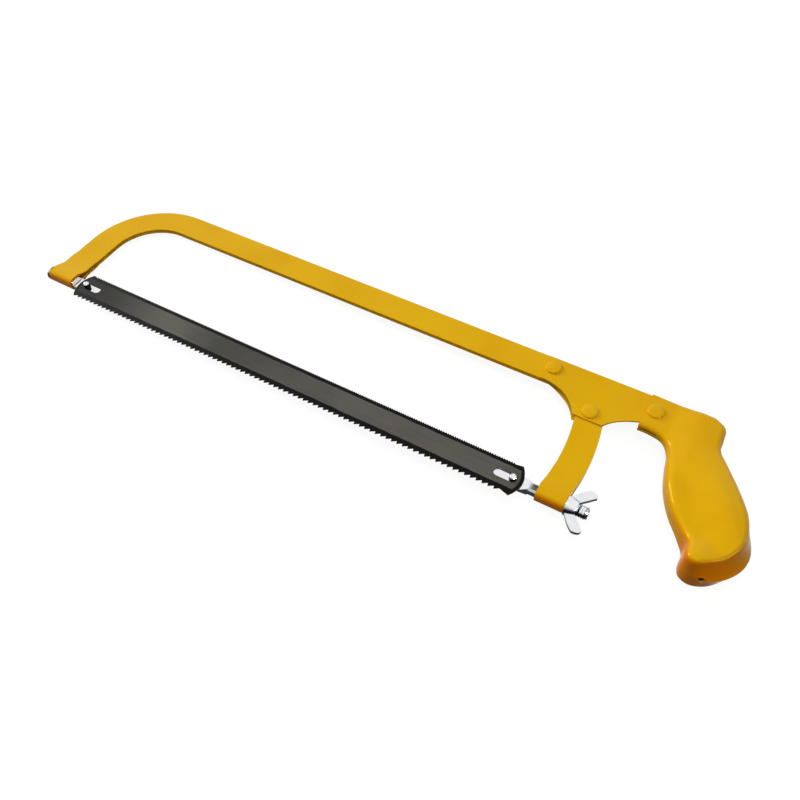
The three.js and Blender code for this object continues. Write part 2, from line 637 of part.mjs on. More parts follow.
// The assembly, in the saw's own frame
const saw = new THREE.Group();
const nearShell = surface(gripShell());
saw.add(
  piece('bow', bow(), PAINT),
  piece('rear_arm', rearArm(), PAINT),
  piece('gusset_left_plate', gussetPlate(0), PAINT),
  piece('gusset_right_plate', mirrored(gussetPlate(FAR_ARCH_LIFT)), PAINT),
  piece('handle_left_shell', nearShell, PAINT),
  piece('handle_right_shell', mirrored(nearShell), PAINT),
  piece('bow_rivet', rivet(BOW_RIVET, GUSSET_OUTER), PAINT),
  piece('arm_rivet', rivet(ARM_RIVET, GUSSET_OUTER), PAINT),
  piece('handle_rivet', rivet(HANDLE_RIVET, SLEEVE_HALF), PAINT),
  piece('front_anchor', frontAnchor(), CHROME),
  piece('front_blade_pin', bladePin(0), CHROME),
  piece('tension_stud', tensionStud(), CHROME),
  piece('rear_blade_pin', bladePin(HOLE_SPACING), CHROME),
  piece('wing_nut', wingNut(), CHROME),
  piece('blade', blade(), BLADE_STEEL),
);

// The part's origin is the centre of its footprint, at the surface that it lies on
const bounds = new THREE.Box3().setFromObject(saw);
const centre = bounds.getCenter(new THREE.Vector3());
saw.position.set(-centre.x, -centre.y, -bounds.min.z);

const hacksawFrame = new THREE.Group();
hacksawFrame.add(saw);

export default hacksawFrame;
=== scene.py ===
"""Looks of a hacksaw frame: enamelled pressed sheet, bright plated fittings and a toothed blade."""

import logging
import math
from dataclasses import dataclass
from enum import Enum
from typing import Any, Iterable, Sequence

import bmesh
import bpy
from mathutils import Matrix, Vector


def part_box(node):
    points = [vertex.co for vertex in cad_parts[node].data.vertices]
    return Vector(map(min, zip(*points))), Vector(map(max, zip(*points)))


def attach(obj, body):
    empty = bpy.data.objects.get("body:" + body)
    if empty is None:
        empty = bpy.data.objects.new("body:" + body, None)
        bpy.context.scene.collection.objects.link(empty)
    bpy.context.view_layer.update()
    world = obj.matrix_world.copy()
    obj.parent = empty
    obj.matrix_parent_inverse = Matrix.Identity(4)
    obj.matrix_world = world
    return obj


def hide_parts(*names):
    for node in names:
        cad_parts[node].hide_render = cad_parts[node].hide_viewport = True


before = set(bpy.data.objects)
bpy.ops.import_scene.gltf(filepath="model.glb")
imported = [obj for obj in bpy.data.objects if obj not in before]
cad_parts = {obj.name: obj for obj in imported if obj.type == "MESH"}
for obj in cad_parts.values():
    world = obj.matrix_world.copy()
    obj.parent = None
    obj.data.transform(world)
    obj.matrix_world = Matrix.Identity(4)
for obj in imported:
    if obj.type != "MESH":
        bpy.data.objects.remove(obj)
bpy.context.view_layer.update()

# Lengths are in millimetres and angles in degrees, unless a line says otherwise.
# MM turns millimetres into metres.
MM = 0.001
HOLE_SPACING = 300.0
WELD_GAP = 0.002
FLAT_ANGLE = 0.4
CREASE_ANGLE = 40.0
WHITE = (1.0, 1.0, 1.0, 1.0)
LOG = logging.getLogger("hacksaw")

Node = bpy.types.Node
Socket = bpy.types.NodeSocket
Tree = bpy.types.NodeTree
Range = tuple[float, float]


class Body(Enum):
    """The rigid bodies that the scene's own pieces ride on."""

    FRAME = "frame"
    NUT = "nut"
    STUD = "stud"


class Slot(Enum):
    """The record's material slots that the scene's own pieces fill."""

    PAINT = "yellow_paint"
    PLATE = "bright_chrome"


def saw_origin() -> Vector:
    """Return the point at the front blade pin on the saw's middle plane."""
    pin_low, pin_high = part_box("front_blade_pin")
    below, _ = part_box("handle_right_shell")
    _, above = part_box("handle_left_shell")
    return Vector(((pin_low.x + pin_high.x) / 2, (pin_low.y + pin_high.y) / 2, (below.z + above.z) / 2))


ORIGIN = saw_origin()


def saw_point(x: float, y: float, z: float) -> Vector:
    """Place a point given in millimetres from the front blade pin and the saw's middle plane.

    Args:
        x: Distance along the blade towards the grip.
        y: Distance from the blade's line towards the backbone.
        z: Height above the middle plane.

    Returns:
        The point in the shared frame, in metres.
    """
    return ORIGIN + Vector((x, y, z)) * MM


def smooth(value: float, low: float, high: float) -> float:
    """Return a smooth step from 0 at low to 1 at high."""
    share = max(0.0, min(1.0, (value - low) / (high - low)))
    return share * share * (3 - 2 * share)


def soft_max(first: float, second: float, blend: float) -> float:
    """Return the greater of two shares, blended where they meet and at most 1."""
    return min(1.0, (first + second + math.hypot(first - second, blend)) / 2)


def catmull_rom(knots: Sequence[Vector], steps: int) -> list[Vector]:
    """Return points on a smooth curve through the knots.

    Args:
        knots: Points that the curve passes through.
        steps: Points for each stretch between two knots.

    Returns:
        Points from the first knot to the last.
    """
    points = [knots[0].copy()]
    for i in range(len(knots) - 1):
        before, start, end = knots[max(i - 1, 0)], knots[i], knots[i + 1]
        after = knots[min(i + 2, len(knots) - 1)]
        leave, arrive = (end - before) * 0.5, (after - start) * 0.5
        for step in range(1, steps + 1):
            t = step / steps
            points.append(
                start * (2 * t**3 - 3 * t**2 + 1) + leave * (t**3 - 2 * t**2 + t)
                + end * (3 * t**2 - 2 * t**3) + arrive * (t**3 - t**2)
            )
    return points


def evenly(path: Sequence[Vector], spacing: float) -> list[Vector]:
    """Return points at about an even spacing along a line of points, with both ends kept."""
    lengths = [0.0]
    for start, end in zip(path, path[1:]):
        lengths.append(lengths[-1] + (end - start).length)
    count = max(2, round(lengths[-1] / spacing))
    result = []
    at = 0
    for i in range(count + 1):
        want = lengths[-1] * i / count
        while at + 2 < len(lengths) and lengths[at + 1] < want:
            at += 1
        gap = lengths[at + 1] - lengths[at]
        share = (want - lengths[at]) / gap if gap > 0 else 0.0
        result.append(path[at].lerp(path[at + 1], min(1.0, share)))
    return result


def linear(hex_colour: str) -> tuple[float, float, float, float]:
    """Turn an sRGB hex colour into linear red, green, blue and alpha."""
    values = [int(hex_colour[i:i + 2], 16) / 255 for i in (1, 3, 5)]
    red, green, blue = [v / 12.92 if v <= 0.04045 else ((v + 0.055) / 1.055) ** 2.4 for v in values]
    return red, green, blue, 1.0


def set_inputs(tree: Tree, node: Node, values: dict[str | int, Any]) -> None:
    """Set a node's inputs to values, or link them to output sockets.

    Args:
        tree: Tree that holds the node.
        node: Node whose inputs are set.
        values: Values or output sockets by input name or number.
    """
    for key, value in values.items():
        if isinstance(value, Socket):
            tree.links.new(value, node.inputs[key])
        else:
            node.inputs[key].default_value = value


def add_node(tree: Tree, kind: str, settings: dict[str, Any] | None = None,
             inputs: dict[str | int, Any] | None = None) -> Node:
    """Add a node, set its options, and set or link its inputs.

    Args:
        tree: Tree that takes the node.
        kind: Blender's name for the node type.
        settings: Options to set on the node.
        inputs: Values or output sockets by input name or number.

    Returns:
        The new node.
    """
    node = tree.nodes.new(kind)
    for name, value in (settings or {}).items():
        setattr(node, name, value)
    set_inputs(tree, node, inputs or {})
    return node


def math_node(tree: Tree, operation: str, *values: Any) -> Socket:
    """Return the result of a Math node on the given numbers or sockets."""
    node = add_node(tree, "ShaderNodeMath", {"operation": operation}, dict(enumerate(values)))
    return node.outputs["Value"]


def map_range(tree: Tree, value: Socket, start: Sequence[float], end: Sequence[float] = (0.0, 1.0),
              kind: str = "SMOOTHSTEP") -> Socket:
    """Carry a value from one range over to another.

    Args:
        tree: Tree that takes the node.
        value: Value to carry over.
        start: Range that it comes from.
        end: Range that it goes to and stays inside.
        kind: Blender's name for the way between the two ends.

    Returns:
        The new value.
    """
    node = add_node(tree, "ShaderNodeMapRange", {"interpolation_type": kind}, {
        "Value": value, "From Min": start[0], "From Max": start[1], "To Min": end[0], "To Max": end[1]})
    return node.outputs["Result"]


def mix_colours(tree: Tree, share: Any, first: Any, second: Any, blend: str = "MIX") -> Socket:
    """Return the second colour laid over the first by a share, in one of Blender's blend types."""
    node = add_node(tree, "ShaderNodeMix", {"data_type": "RGBA", "blend_type": blend}, {
        "Factor": share, "A": first, "B": second})
    return node.outputs["Result"]


def noise(tree: Tree, place: Socket, grain: float, detail: float) -> Node:
    """Return a noise texture with grains of about the given size in millimetres."""
    return add_node(tree, "ShaderNodeTexNoise", inputs={
        "Vector": place, "Scale": 1 / (grain * MM), "Detail": detail})


def bump(tree: Tree, height: Socket, strength: float, depth: float) -> Socket:
    """Return a normal that a height field roughens to a depth in millimetres."""
    node = add_node(tree, "ShaderNodeBump", inputs={
        "Height": height, "Strength": strength, "Distance": depth * MM})
    return node.outputs["Normal"]


def levelness(tree: Tree) -> Socket:
    """Return 1 on a piece's level faces and 0 on its upright walls, in its own axes."""
    normal = add_node(tree, "ShaderNodeTexCoord").outputs["Normal"]
    axes = add_node(tree, "ShaderNodeSeparateXYZ", inputs={"Vector": normal})
    return math_node(tree, "ABSOLUTE", axes.outputs["Z"])


def seen_by_eye(tree: Tree) -> Socket:
    """Return a socket that is 1 for camera, glossy and transmission rays and 0 for the rest."""
    path = add_node(tree, "ShaderNodeLightPath")
    first = math_node(tree, "MAXIMUM", path.outputs["Is Camera Ray"], path.outputs["Is Glossy Ray"])
    return math_node(tree, "MAXIMUM", first, path.outputs["Is Transmission Ray"])


def new_material(name: str) -> tuple[bpy.types.Material, Tree, Node]:
    """Make an empty material with a Principled shader joined to its output.

    Args:
        name: Name of the finish.

    Returns:
        The material, its node tree and its shader.
    """
    material = bpy.data.materials.new(name)
    material.use_nodes = True
    tree = material.node_tree
    tree.nodes.clear()
    shader = add_node(tree, "ShaderNodeBsdfPrincipled")
    add_node(tree, "ShaderNodeOutputMaterial", inputs={"Surface": shader.outputs["BSDF"]})
    return material, tree, shader


@dataclass(frozen=True)
class GlossEnamel:
    """Stoved gloss enamel: a full yellow with an orange-peel skin; upright walls get a deeper orange as
    painted shade, deepest low down.
    """

    colour: str = "#D6A40C"
    deep: str = "#D29E0A"
    pale: str = "#D9A910"
    # Painted shade: the next two colours are a deeper orange put on upright walls, the second for walls
    # low down; the slope says where walls begin and foot the heights over which the two blend.
    wall: str = "#DA9E00"
    painted_shade_low_wall: str = "#DC7E00"
    painted_shade_slope: Range = (0.45, 0.9)
    foot: Range = (-2.0, 25.0)
    sheen: str = "#FFC04A"
    shine: Range = (0.015, 0.18)
    shine_slope: Range = (0.45, 0.75)
    refraction: float = 1.5
    cloud: float = 40.0
    cloud_range: Range = (0.3, 0.7)
    roughness: Range = (0.09, 0.13)
    peel: float = 2.4
    peel_depth: float = 0.012
    peel_strength: float = 0.25

    def build(self) -> bpy.types.Material:
        """Return the enamel's material."""
        material, tree, shader = new_material("Stoved gloss enamel")
        place = add_node(tree, "ShaderNodeTexCoord").outputs["Object"]
        cloud = noise(tree, place, self.cloud, detail=3.0).outputs["Fac"]
        tint = add_node(tree, "ShaderNodeValToRGB", inputs={"Fac": cloud})
        stops = tint.color_ramp.elements
        stops[0].position, stops[0].color = self.cloud_range[0], linear(self.deep)
        stops[1].position, stops[1].color = self.cloud_range[1], linear(self.pale)
        middle = stops.new(sum(self.cloud_range) / 2)
        middle.color = linear(self.colour)
        # Painted shade: the wall colour turns deeper the lower the wall stands, blending across the foot
        # heights.
        height = add_node(tree, "ShaderNodeSeparateXYZ", inputs={"Vector": place}).outputs["Y"]
        rise = map_range(tree, height, [saw_point(0, y, 0).y for y in self.foot])
        wall = mix_colours(tree, rise, linear(self.painted_shade_low_wall), linear(self.wall))
        level = levelness(tree)
        peel = noise(tree, place, self.peel, detail=1.0).outputs["Fac"]
        set_inputs(tree, shader, {
            # Upright walls take the painted shade colour; level faces keep the clouded yellow.
            "Base Color": mix_colours(
                tree, map_range(tree, level, self.painted_shade_slope), wall, tint.outputs["Color"]),
            "Roughness": map_range(tree, cloud, self.cloud_range, self.roughness, "LINEAR"),
            "Normal": bump(tree, peel, self.peel_strength, self.peel_depth),
            "IOR": self.refraction,
            "Specular IOR Level": map_range(tree, level, self.shine_slope, self.shine),
            "Specular Tint": linear(self.sheen),
        })
        return material


@dataclass(frozen=True)
class BrightPlate:
    """Bright plate on turned and forged steel: mirror-like, slightly uneven, with fine polish lines;
    upright flanks are coloured near black as a painted dark reflection.
    """

    colour: str = "#F5F6F7"
    stain: str = "#DCDEE1"
    # Painted reflection: a near-black colour for upright flanks, standing in for the dark room that they
    # mirror, and the slope over which it gives way on level faces.
    painted_dark_flank: str = "#15171C"
    painted_flank_slope: Range = (0.5, 0.86)
    cloud: float = 3.0
    cloud_range: Range = (0.3, 0.7)
    roughness: Range = (0.03, 0.07)
    line: float = 0.35
    line_depth: float = 0.01
    line_strength: float = 0.12
    name: str = "Bright plated steel"

    def build(self) -> bpy.types.Material:
        """Return the plate's material."""
        material, tree, shader = new_material(self.name)
        place = add_node(tree, "ShaderNodeTexCoord").outputs["Object"]
        cloud = noise(tree, place, self.cloud, detail=3.0).outputs["Fac"]
        tint = mix_colours(tree, cloud, linear(self.colour), linear(self.stain))
        # Share from 0 on upright flanks, which take the painted dark reflection, to 1 on level faces.
        polished = map_range(tree, levelness(tree), self.painted_flank_slope)
        lines = noise(tree, place, self.line, detail=1.0).outputs["Fac"]
        set_inputs(tree, shader, {
            "Base Color": mix_colours(tree, polished, linear(self.painted_dark_flank), tint),
            "Roughness": map_range(tree, cloud, self.cloud_range, self.roughness, "LINEAR"),
            "Normal": bump(tree, lines, self.line_strength, self.line_depth),
            "Metallic": 1.0,
        })
        return material


@dataclass(frozen=True)
class HardenedBlade:
    """Oiled blade steel: ground grey faces with lengthwise lines, darker towards the front end as painted
    shade, and blued bands along both edges.
    """

    face: str = "#55534D"
    dark: str = "#222220"
    band: str = "#0E0E0D"
    tooth_band: float = 4.0
    back_band: float = 2.8
    end_band: float = 1.8
    end_radius: float = 15.0
    band_blur: float = 0.5
    ragged: float = 6.0
    ragged_depth: float = 0.8
    # Painted shade: distances from the front end over which the faces turn from the dark colour to the
    # clouded grey.
    painted_shade_front_end: Range = (9.0, 81.0)
    cloud: float = 60.0
    cloud_gain: float = 1.6
    line: float = 0.45
    line_stretch: float = 0.02
    line_range: Range = (0.3, 0.7)
    line_share: float = 0.35
    line_depth: float = 0.01
    line_strength: float = 0.2
    roughness: Range = (0.38, 0.55)
    metal: float = 0.55
    gleam: float = 0.1

    def build(self) -> bpy.types.Material:
        """Return the blade's material."""
        material, tree, shader = new_material("Oiled blade steel")
        low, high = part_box("blade")
        half = (high - low) / 2
        place = add_node(tree, "ShaderNodeTexCoord").outputs["Object"]
        local = add_node(tree, "ShaderNodeMapping", inputs={
            "Vector": place, "Location": -(low + high) / 2})
        axes = add_node(tree, "ShaderNodeSeparateXYZ", inputs={"Vector": local.outputs["Vector"]})
        stretched = add_node(tree, "ShaderNodeMapping", inputs={
            "Vector": place, "Scale": (self.line_stretch, 1.0, 1.0)})
        lines = noise(tree, stretched.outputs["Vector"], self.line, detail=3.0)
        cloud = noise(tree, place, self.cloud, detail=3.0).outputs["Fac"]
        # Painted shade: 0 at the front end and 1 past it, so the front of the blade is painted darker.
        painted_front_shade = map_range(tree, axes.outputs["X"], [end * MM - half.x for end in self.painted_shade_front_end])
        tone = math_node(tree, "MULTIPLY", math_node(tree, "MULTIPLY", cloud, self.cloud_gain), painted_front_shade)
        tone = math_node(tree, "MINIMUM", tone, 1.0)
        face = mix_colours(tree, tone, linear(self.dark), linear(self.face))
        ground = mix_colours(tree, self.line_share, face, lines.outputs["Color"], "OVERLAY")
        band = self._bands(tree, place, axes, half)
        set_inputs(tree, shader, {
            "Base Color": mix_colours(tree, band, ground, linear(self.band)),
            "Roughness": map_range(tree, lines.outputs["Fac"], self.line_range, self.roughness, "LINEAR"),
            "Normal": bump(tree, lines.outputs["Fac"], self.line_strength, self.line_depth),
            "Metallic": self.metal,
            "Specular IOR Level": self.gleam,
        })
        return material

    def _bands(self, tree: Tree, place: Socket, axes: Node, half: Vector) -> Socket:
        """Return a share that is 1 in the blued bands along both edges and round both ends.

        Args:
            tree: The material's tree.
            place: Place on the blade.
            axes: Node that gives the place from the blade's middle along each axis.
            half: Half of the blade's size along each axis, in metres.

        Returns:
            The share, with slightly ragged borders.
        """
        ragged = noise(tree, place, self.ragged, detail=2.0).outputs["Fac"]
        depth = self.ragged_depth * MM
        wobble = math_node(tree, "MULTIPLY_ADD", ragged, depth, -depth / 2)
        across = math_node(tree, "ADD", axes.outputs["Y"], wobble)
        downward = math_node(tree, "MULTIPLY", across, -1.0)
        back = self._border(tree, across, half.y - self.back_band * MM)
        tooth = self._border(tree, downward, half.y - self.tooth_band * MM)
        along = math_node(tree, "ABSOLUTE", axes.outputs["X"])
        past = math_node(tree, "SUBTRACT", along, half.x - self.end_radius * MM)
        past = math_node(tree, "MAXIMUM", past, 0.0)
        reach = add_node(tree, "ShaderNodeCombineXYZ", inputs={"X": past, "Y": across})
        length = add_node(tree, "ShaderNodeVectorMath", {"operation": "LENGTH"}, {
            0: reach.outputs["Vector"]})
        ends = self._border(tree, length.outputs["Value"], (self.end_radius - self.end_band) * MM)
        return math_node(tree, "MAXIMUM", math_node(tree, "MAXIMUM", back, tooth), ends)

    def _border(self, tree: Tree, value: Socket, at: float) -> Socket:
        """Return a soft step from 0 to 1 where the value passes a border, in metres."""
        blur = self.band_blur * MM
        return map_range(tree, value, (at - blur / 2, at + blur / 2))


@dataclass(frozen=True)
class StudioPaper:
    """Matt white studio paper that stays white to the eye and keeps a faint shadow."""

    colour: str = "#646462"
    glow: float = 0.92
    roughness: float = 0.9

    def build(self) -> bpy.types.Material:
        """Return the paper's material."""
        material, tree, shader = new_material("Matt white paper")
        set_inputs(tree, shader, {
            "Base Color": linear(self.colour),
            "Roughness": self.roughness,
            "Specular IOR Level": 0.0,
            "Emission Color": WHITE,
            "Emission Strength": math_node(tree, "MULTIPLY", seen_by_eye(tree), self.glow),
        })
        return material


@dataclass(frozen=True)
class FlagCloth:
    """Black cloth that throws back no light."""

    colour: str = "#050505"

    def build(self) -> bpy.types.Material:
        """Return the cloth's material."""
        material, tree, shader = new_material("Black flag cloth")
        set_inputs(tree, shader, {"Base Color": linear(self.colour), "Specular IOR Level": 0.0})
        return material


def link_object(name: str, data: bpy.types.ID) -> bpy.types.Object:
    """Put a mesh, a lamp or a camera into the scene as an object at the origin."""
    piece = bpy.data.objects.new(name, data)
    bpy.context.scene.collection.objects.link(piece)
    return piece


def mesh_from(name: str, points: Sequence[Vector], faces: Sequence[Sequence[int]]) -> bpy.types.Object:
    """Make an object from points and faces.

    Args:
        name: Name of the piece.
        points: Corner points in the shared frame.
        faces: Point numbers of each face.

    Returns:
        The new object.
    """
    mesh = bpy.data.meshes.new(name)
    mesh.from_pydata([tuple(point) for point in points], [], [tuple(face) for face in faces])
    mesh.validate()
    return link_object(name, mesh)


def bake(piece: bpy.types.Object) -> None:
    """Turn an object's modifiers into a plain mesh and remove them."""
    bpy.context.view_layer.update()
    depsgraph = bpy.context.evaluated_depsgraph_get()
    mesh = bpy.data.meshes.new_from_object(piece.evaluated_get(depsgraph), depsgraph=depsgraph)
    piece.modifiers.clear()
    old = piece.data
    piece.data = mesh
    mesh.name = piece.name
    if old.users == 0:
        bpy.data.meshes.remove(old)


def merged_copy(node: str, name: str) -> bpy.types.Object:
    """Copy a CAD node with its triangles joined and its flat faces made whole.

    Args:
        node: Name of the CAD node.
        name: Name of the new piece.

    Returns:
        The copy, as a new object at the origin.
    """
    shape = bmesh.new()
    shape.from_mesh(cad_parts[node].data)
    bmesh.ops.remove_doubles(shape, verts=shape.verts, dist=WELD_GAP * MM)
    bmesh.ops.dissolve_limit(
        shape, angle_limit=math.radians(FLAT_ANGLE), verts=shape.verts, edges=shape.edges)
    mesh = bpy.data.meshes.new(name)
    shape.to_mesh(mesh)
    shape.free()
    return link_object(name, mesh)


def round_edges(piece: bpy.types.Object, width: float, segments: int = 3, angle: float = 32.0) -> None:
    """Round a piece's sharp edges and shade its curves smoothly.

    Args:
        piece: Object to finish.
        width: Width of the rounding in millimetres.
        segments: Steps across the rounding.
        angle: Edges sharper than this many degrees are rounded.
    """
    bevel = piece.modifiers.new("Rounded edges", "BEVEL")
    bevel.width = width * MM
    bevel.segments = segments
    bevel.limit_method = "ANGLE"
    bevel.angle_limit = math.radians(angle)
    bevel.miter_outer = "MITER_ARC"
    bake(piece)
    shade(piece, CREASE_ANGLE)
    even = piece.modifiers.new("Even shading", "WEIGHTED_NORMAL")
    even.keep_sharp = True
    bake(piece)


def shade(piece: bpy.types.Object, angle: float) -> None:
    """Shade a piece smoothly, with creases sharper than an angle in degrees kept."""
    piece.data.shade_smooth()
    piece.data.set_sharp_from_angle(angle=math.radians(angle))


def dress(piece: bpy.types.Object, finish: bpy.types.Material, body: Body,
          stands_for: Iterable[str] = ()) -> None:
    """Give a piece its finish and the body it rides on, and hide the CAD nodes that it stands for.

    Args:
        piece: Object to dress.
        finish: Material for the whole piece.
        body: Rigid body that carries it.
        stands_for: CAD nodes that the piece replaces.
    """
    piece.data.materials.clear()
    piece.data.materials.append(finish)
    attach(piece, body.value)
    names = tuple(stands_for)
    if names:
        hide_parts(*names)
    LOG.info("%s: %d faces on %s", piece.name, len(piece.data.polygons), body.value)


class NodesTree:
    """A Geometry Nodes tree with named inputs that ends in a plain mesh with one material."""

    def __init__(self, name: str) -> None:
        """Start an empty tree with a geometry input and output."""
        self.tree = bpy.data.node_groups.new(name, "GeometryNodeTree")
        self.tree.interface.new_socket("Geometry", in_out="OUTPUT", socket_type="NodeSocketGeometry")
        self.tree.interface.new_socket("Geometry", in_out="INPUT", socket_type="NodeSocketGeometry")
        self.identifiers: dict[str, str] = {}
        self.entry = self.tree.nodes.new("NodeGroupInput")

    def size(self, name: str, kind: str = "NodeSocketFloat") -> Socket:
        """Add a named input and return its socket inside the tree."""
        item = self.tree.interface.new_socket(name, in_out="INPUT", socket_type=kind)
        self.identifiers[name] = item.identifier
        return self.entry.outputs[name]

    def close(self, geometry: Socket) -> None:
        """End the tree: make instances real and set the material."""
        finish = self.size("Finish", "NodeSocketMaterial")
        real = add_node(self.tree, "GeometryNodeRealizeInstances", inputs={"Geometry": geometry})
        painted = add_node(self.tree, "GeometryNodeSetMaterial", inputs={
            "Geometry": real.outputs["Geometry"], "Material": finish})
        add_node(self.tree, "NodeGroupOutput", inputs={"Geometry": painted.outputs["Geometry"]})

    def run(self, piece: bpy.types.Object, values: dict[str, Any]) -> None:
        """Apply the tree to an object with the given input values and bake the result.

        Args:
            piece: Object whose mesh feeds the tree.
            values: Input values by name.
        """
        modifier = piece.modifiers.new(self.tree.name, "NODES")
        modifier.node_group = self.tree
        for name, value in values.items():
            modifier[self.identifiers[name]] = value
        bake(piece)


@dataclass
class PressedFrame:
    """Bow, rear arm and gusset plates of folded and pressed sheet."""

    finish: bpy.types.Material
    edge: float = 0.35
    tip_rise: float = 2.6
    tip_length: float = 18.0

    def build(self) -> None:
        """Make each sheet piece with rolled edges."""
        for node in ("bow", "rear_arm", "gusset_left_plate", "gusset_right_plate"):
            piece = merged_copy(node, f"{node}_sheet")
            if node == "gusset_right_plate":
                self._draw_in_tip(piece)
            round_edges(piece, self.edge)
            dress(piece, self.finish, Body.FRAME, [node])

    def _draw_in_tip(self, plate: bpy.types.Object) -> None:
        """Draw the lower edge of the far plate's front tip in behind the bow."""
        front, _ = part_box("gusset_right_plate")
        rivet_low, rivet_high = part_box("bow_rivet")
        for vertex in plate.data.vertices:
            if vertex.co.y < (rivet_low.y + rivet_high.y) / 2:
                share = 1 - smooth((vertex.co.x - front.x) / MM, 0.0, self.tip_length)
                vertex.co.y += share * self.tip_rise * MM


@dataclass
class RivetSet:
    """Low domed rivet heads, painted over, on both faces of the frame."""

    finish: bpy.types.Material
    height: float = 1.1
    fullness: float = 0.55
    steps: tuple[int, int] = (40, 24)
    crease: float = 50.0

    def build(self) -> None:
        """Set a head on each end of each rivet."""
        nodes = ("bow_rivet", "arm_rivet", "handle_rivet")
        points: list[Vector] = []
        for node in nodes:
            low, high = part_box(node)
            centre = (low + high) / 2
            points.append(Vector((centre.x, centre.y, high.z)))
            points.append(Vector((centre.x, centre.y, low.z)))
        heads = mesh_from("rivet_heads", points, [])
        low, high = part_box(nodes[0])
        self._tree().run(heads, {
            "Radius": (high.x - low.x) / 2,
            "Height": self.height * MM,
            "Middle": (low.z + high.z) / 2,
            "Finish": self.finish,
        })
        shade(heads, self.crease)
        dress(heads, self.finish, Body.FRAME, nodes)

    def _tree(self) -> NodesTree:
        """Return the tree that puts a domed head at each point, sunk to its rim."""
        made = NodesTree("Rivet heads")
        radius, height, middle = made.size("Radius"), made.size("Height"), made.size("Middle")
        tree = made.tree
        ball = add_node(tree, "GeometryNodeMeshUVSphere", inputs={
            "Segments": self.steps[0], "Rings": self.steps[1], "Radius": 1.0})
        axes = self._place(tree)
        bulge = math_node(tree, "POWER", math_node(tree, "ABSOLUTE", axes.outputs["Z"]), self.fullness)
        tall = math_node(tree, "MULTIPLY", bulge, math_node(tree, "SIGN", axes.outputs["Z"]))
        shape = add_node(tree, "ShaderNodeCombineXYZ", inputs={
            "X": axes.outputs["X"], "Y": axes.outputs["Y"], "Z": tall})
        size = add_node(tree, "ShaderNodeCombineXYZ", inputs={"X": radius, "Y": radius, "Z": height})
        scaled = add_node(tree, "ShaderNodeVectorMath", {"operation": "MULTIPLY"}, {
            0: shape.outputs["Vector"], 1: size.outputs["Vector"]})
        head = add_node(tree, "GeometryNodeSetPosition", inputs={
            "Geometry": ball.outputs["Mesh"], "Position": scaled.outputs["Vector"]})
        above = math_node(tree, "SUBTRACT", self._place(tree).outputs["Z"], middle)
        sink = math_node(tree, "MULTIPLY", math_node(tree, "SIGN", above), height)
        down = math_node(tree, "MULTIPLY", sink, -1.0)
        shift = add_node(tree, "ShaderNodeCombineXYZ", inputs={"Z": down})
        seats = add_node(tree, "GeometryNodeSetPosition", inputs={
            "Geometry": made.entry.outputs["Geometry"], "Offset": shift.outputs["Vector"]})
        placed = add_node(tree, "GeometryNodeInstanceOnPoints", inputs={
            "Points": seats.outputs["Geometry"], "Instance": head.outputs["Geometry"]})
        made.close(placed.outputs["Instances"])
        return made

    @staticmethod
    def _place(tree: Tree) -> Node:
        """Return a node that gives each point's place along the three axes."""
        place = add_node(tree, "GeometryNodeInputPosition").outputs["Position"]
        return add_node(tree, "ShaderNodeSeparateXYZ", inputs={"Vector": place})


